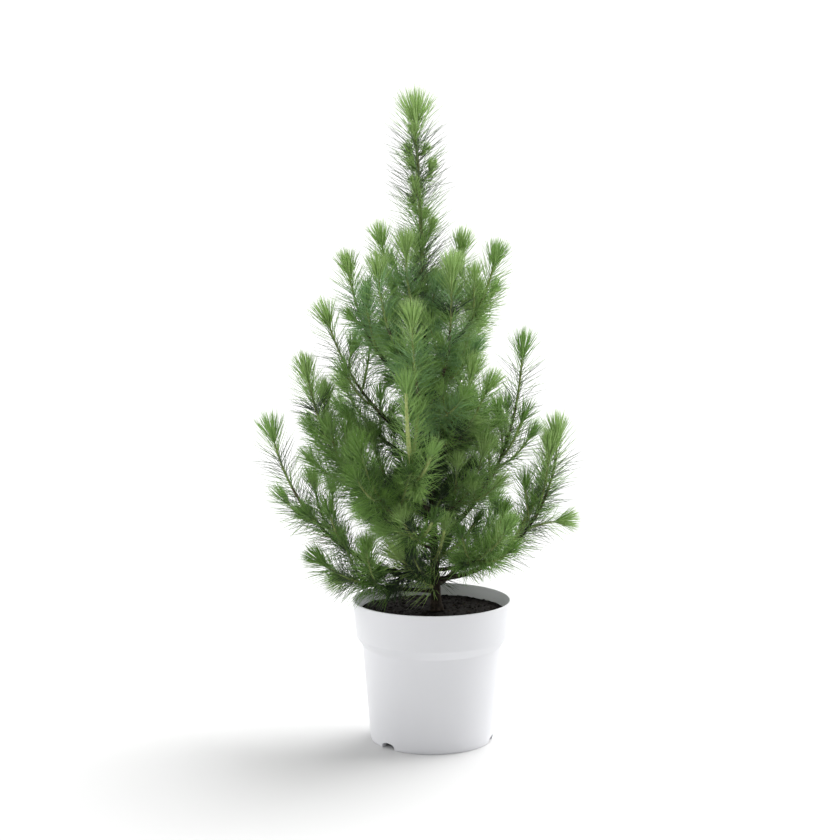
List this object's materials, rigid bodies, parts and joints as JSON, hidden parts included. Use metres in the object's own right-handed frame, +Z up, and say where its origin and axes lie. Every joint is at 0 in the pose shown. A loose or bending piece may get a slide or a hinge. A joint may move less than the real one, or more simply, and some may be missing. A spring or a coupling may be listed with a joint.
{
  "type": "potted stone pine",
  "caption": "Young stone pine with upturned needled shoots round a slim leader, in a round tapered nursery pot with a deep collar and filled with soil.",
  "frame": {"origin": "centre of the pot's flat underside, on the floor it stands on", "axes": "+Z up along the pot's axis, -Y towards the side shown, +X to that side's right"},
  "size_m": [0.2885, 0.2267, 0.5702],
  "materials": {
    "pot": "satin",
    "soil": "matte",
    "bark": "matte",
    "needles": "matte"
  },
  "bodies": {
    "root": {"bough_back": "bark", "bough_front_left": "bark", "bough_front_tall": "bark", "bough_high_back_left": "bark", "bough_high_back_right": "bark", "bough_high_left": "bark", "bough_high_right": "bark", "bough_left": "bark", "bough_left_back": "bark", "bough_left_front": "bark", "bough_low_back_left": "bark", "bough_low_back_right": "bark", "bough_low_left": "bark", "bough_low_left_front": "bark", "bough_low_right": "bark", "bough_mid_left": "bark", "bough_right": "bark", "bough_right_front": "bark", "bough_upper_back": "bark", "foliage_back": "needles", "foliage_front": "needles", "foliage_front_left": "needles", "foliage_front_tall": "needles", "foliage_high_back_left": "needles", "foliage_high_back_right": "needles", "foliage_high_left": "needles", "foliage_high_left_front": "needles", "foliage_high_right": "needles", "foliage_high_right_front": "needles", "foliage_inner_back": "needles", "foliage_inner_left": "needles", "foliage_inner_right": "needles", "foliage_leader_lower": "needles", "foliage_leader_middle": "needles", "foliage_leader_tip": "needles", "foliage_leader_upper": "needles", "foliage_left": "needles", "foliage_left_back": "needles", "foliage_left_front": "needles", "foliage_low_back_left": "needles", "foliage_low_back_right": "needles", "foliage_low_front": "needles", "foliage_low_front_left": "needles", "foliage_low_left": "needles", "foliage_low_left_front": "needles", "foliage_low_right": "needles", "foliage_mid_front": "needles", "foliage_mid_left": "needles", "foliage_mid_right": "needles", "foliage_mid_right_front": "needles", "foliage_right": "needles", "foliage_right_front": "needles", "foliage_top_back": "needles", "foliage_top_front": "needles", "foliage_top_left": "needles", "foliage_top_right": "needles", "foliage_upper_back": "needles", "pot": "pot", "soil": "soil", "trunk": "bark"}
  },
  "joints": []
}
